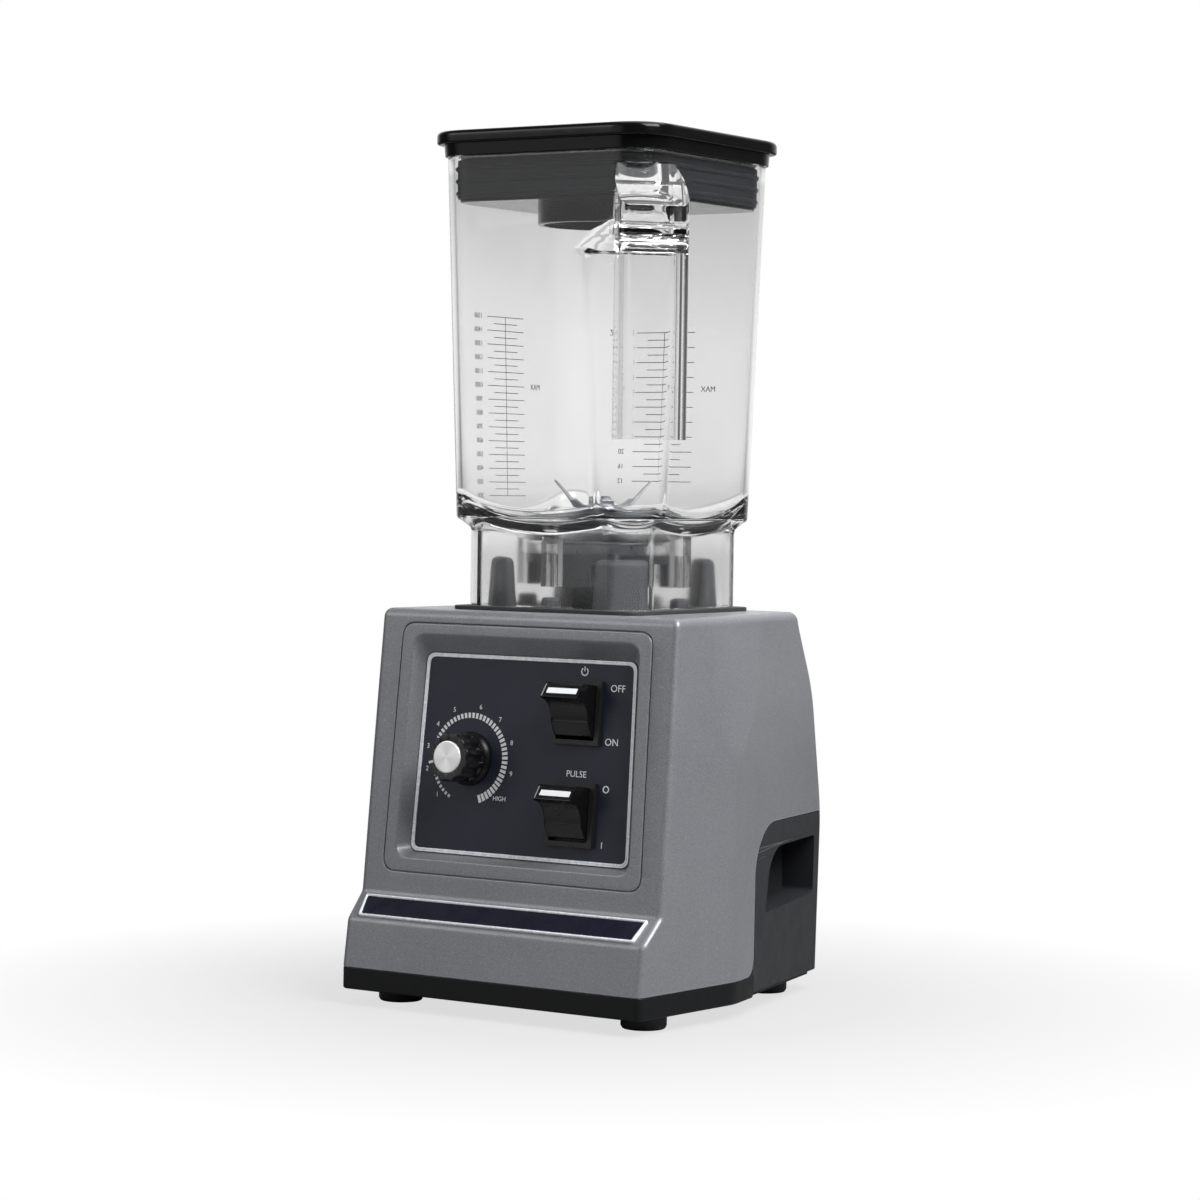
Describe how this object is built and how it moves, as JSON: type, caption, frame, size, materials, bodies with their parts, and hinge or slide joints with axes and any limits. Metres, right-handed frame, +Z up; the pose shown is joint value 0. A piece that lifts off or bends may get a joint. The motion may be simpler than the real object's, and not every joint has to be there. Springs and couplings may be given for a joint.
{
  "type": "countertop blender",
  "caption": "Countertop blender: a square clear jar with a corner handle stands on a wide motor base that has a speed knob and two rocker switches.",
  "frame": {"origin": "on the drive axis, at the underside of the rubber feet", "axes": "+Z up along the drive axis, -Y towards the control panel, +X to the right of someone who faces the panel"},
  "size_m": [0.2212, 0.228, 0.5057],
  "materials": {
    "housing_paint": "satin metallic grey",
    "cover_plastic": "matt",
    "black_plastic": "fine matt grain",
    "switch_plastic": "satin",
    "panel_film": "satin printed film",
    "name_enamel": "gloss",
    "bright_trim": "satin bright",
    "soft_rubber": "matt",
    "clear_jar": "clear moulded",
    "retainer_black": "satin",
    "lid_black": "gloss",
    "hub_metal": "cast satin",
    "steel": "ground and polished",
    "core_steel": "oiled laminations",
    "copper_wire": "enamelled copper",
    "brush_brass": "plain",
    "carbon": "carbon",
    "board_green": "solder mask",
    "signal_red": "gloss"
  },
  "bodies": {
    "base": {"main_housing": "housing_paint", "control_bezel": "housing_paint", "control_panel": "panel_film", "panel_border": "bright_trim", "name_plate": "name_enamel", "name_trim": "bright_trim", "bottom_cover": "black_plastic", "rear_cover": "cover_plastic", "feet": "soft_rubber", "foot_screws": "steel", "base_screws": "steel", "cover_screws": "steel", "jar_pad": "soft_rubber", "centring_lugs": "soft_rubber", "pad_pegs": "soft_rubber", "drive_collar": "black_plastic", "upper_bracket": "hub_metal", "lower_bracket": "hub_metal", "motor_bolts": "steel", "bracket_screws": "steel", "stator_core": "core_steel", "field_coils": "copper_wire", "upper_bearing": "steel", "lower_bearing": "steel", "brush_holders": "brush_brass", "carbon_brushes": "carbon", "fan_duct": "black_plastic", "speed_board": "board_green", "potentiometer": "steel", "power_switch_body": "switch_plastic", "pulse_switch_body": "switch_plastic", "cord_gland": "black_plastic", "reset_breaker": "black_plastic"},
    "rotor": {"motor_shaft": "steel", "armature_core": "core_steel", "armature_windings": "copper_wire", "commutator": "copper_wire", "cooling_fan": "black_plastic", "drive_coupler": "hub_metal"},
    "speed_knob": {"knob_shaft": "steel", "speed_knob": "switch_plastic", "knob_disc_cap": "bright_trim"},
    "power_rocker": {"power_rocker": "switch_plastic"},
    "pulse_rocker": {"pulse_rocker": "switch_plastic"},
    "reset_button": {"reset_button": "signal_red"},
    "jar": {"jar_body": "clear_jar", "retainer_nut": "retainer_black", "blade_hub": "hub_metal", "hub_gasket": "soft_rubber", "jar_bearings": "steel", "shaft_seal": "soft_rubber"},
    "blades": {"blade_shaft": "steel", "drive_socket": "black_plastic", "upper_blades": "steel", "lower_blades": "steel", "blade_nut": "steel"},
    "lid": {"lid": "lid_black", "lid_seal": "soft_rubber"},
    "lid_cap": {"lid_cap": "lid_black"}
  },
  "joints": [
    {"name": "rotor_spin", "type": "hinge", "parent": "base", "child": "rotor", "pos_m": [0, 0, 0.148], "axis": [0, 0, 1], "continuous": true},
    {"name": "speed_turn", "type": "hinge", "parent": "base", "child": "speed_knob", "pos_m": [-0.038, -0.08679, 0.1446], "axis": [0, -0.9951, 0.0989], "range_deg": [-250, 45]},
    {"name": "power_rock", "type": "hinge", "parent": "base", "child": "power_rocker", "pos_m": [0.035, -0.07287, 0.17337], "axis": [1, 0, 0], "range_deg": [0, 14]},
    {"name": "pulse_rock", "type": "hinge", "parent": "base", "child": "pulse_rocker", "pos_m": [0.035, -0.07857, 0.11605], "axis": [1, 0, 0], "range_deg": [0, 14], "stiffness_Nm_per_rad": 0.08, "springref_deg": -6.88},
    {"name": "reset_press", "type": "slide", "parent": "base", "child": "reset_button", "axis": [0, -1, 0], "range_m": [0, 0.0025], "stiffness_N_per_m": 600, "springref_m": -0.001},
    {"name": "jar_lift", "type": "slide", "parent": "base", "child": "jar", "axis": [0, 0, 1], "range_m": [0, 0.06]},
    {"name": "blade_spin", "type": "hinge", "parent": "jar", "child": "blades", "pos_m": [0, 0, 0.27], "axis": [0, 0, 1], "continuous": true},
    {"name": "lid_lift", "type": "slide", "parent": "jar", "child": "lid", "axis": [0, 0, 1], "range_m": [0, 0.06]},
    {"name": "cap_lift", "type": "slide", "parent": "lid", "child": "lid_cap", "axis": [0, 0, 1], "range_m": [0, 0.06]}
  ],
  "couplings": [
    {"joint": "blade_spin", "follows": "rotor_spin", "ratio": 1}
  ]
}
